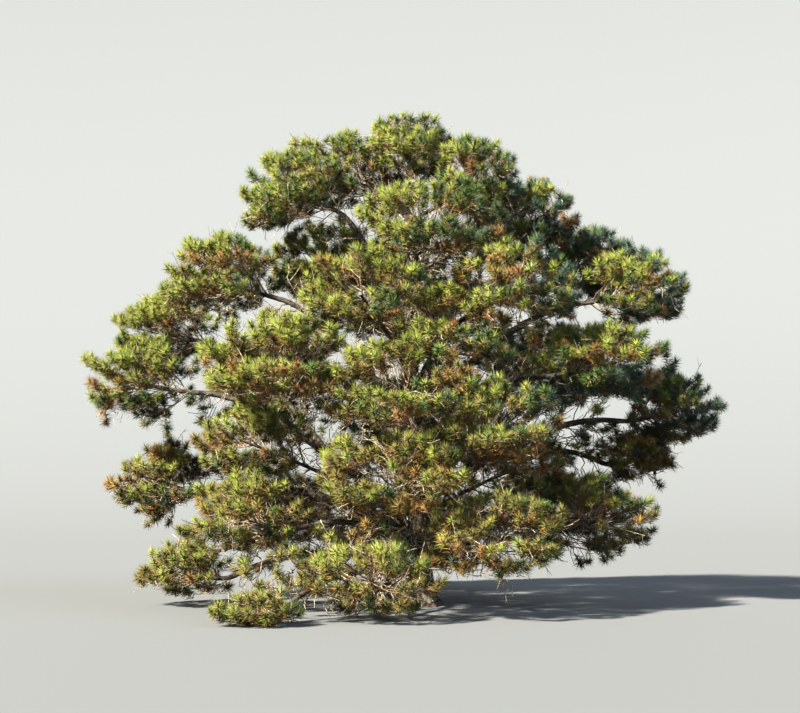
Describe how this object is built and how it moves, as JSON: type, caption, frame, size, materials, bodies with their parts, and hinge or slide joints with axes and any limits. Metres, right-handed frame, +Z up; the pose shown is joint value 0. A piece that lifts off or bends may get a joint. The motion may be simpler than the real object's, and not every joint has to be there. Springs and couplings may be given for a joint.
{
  "type": "pitch pine tree",
  "caption": "Open-grown pitch pine: a short tapering trunk with root flare, arching boughs, and masses of needles down to the ground.",
  "frame": {"origin": "on the ground, at the middle of the flat cut under the trunk", "axes": "+Z up; +X to the right of the side that the tree is seen from; +Y away from that side"},
  "size_m": [8.8125, 6.8591, 6.6712],
  "materials": {
    "bark": "rough plated grey-brown bark, flaky on the boughs and twigs",
    "needles": "satin yellow-green to blue-green needles, with older ones turned gold and rust"
  },
  "bodies": {
    "root": {"trunk": "bark", "bough_far_left": "bark", "bough_left_tip_upper": "bark", "bough_left_shoulder": "bark", "bough_upper_left": "bark", "bough_right_tip_upper": "bark", "bough_right_front": "bark", "bough_far_right": "bark", "bough_right_under": "bark", "bough_low_right": "bark", "bough_low_front_right": "bark", "bough_low_front": "bark", "bough_ground_front_left": "bark", "bough_ground_left": "bark", "bough_left_low": "bark", "bough_front_left_low": "bark", "bough_front_left": "bark", "bough_back_low_left": "bark", "bough_back_low_right": "bark", "bough_back_mid": "bark", "bough_back_left_mid": "bark", "bough_back_right_mid": "bark", "needles_far_left": "needles", "needles_left_tip_upper": "needles", "needles_left_shoulder": "needles", "needles_upper_left": "needles", "needles_right_top": "needles", "needles_right_tip_upper": "needles", "needles_right_front": "needles", "needles_far_right": "needles", "needles_right_under": "needles", "needles_low_right": "needles", "needles_low_front_right": "needles", "needles_low_front": "needles", "needles_ground_front_left": "needles", "needles_ground_left": "needles", "needles_left_low": "needles", "needles_front_left_low": "needles", "needles_front_left": "needles", "needles_back_low_left": "needles", "needles_back_low_right": "needles", "needles_back_mid": "needles", "needles_back_left_mid": "needles", "needles_back_right_mid": "needles", "needles_front_mid": "needles", "needles_front_upper": "needles", "needles_front_right_mid": "needles", "needles_front_high_left": "needles", "needles_front_heart": "needles", "needles_front_high_right": "needles", "needles_front_top": "needles", "needles_left_inner": "needles", "needles_right_inner": "needles", "needles_back_low": "needles", "needles_top_left": "needles", "needles_left_heart": "needles", "needles_crown_top": "needles", "needles_top_right": "needles", "needles_right_shoulder": "needles", "needles_back_upper": "needles"}
  },
  "joints": []
}
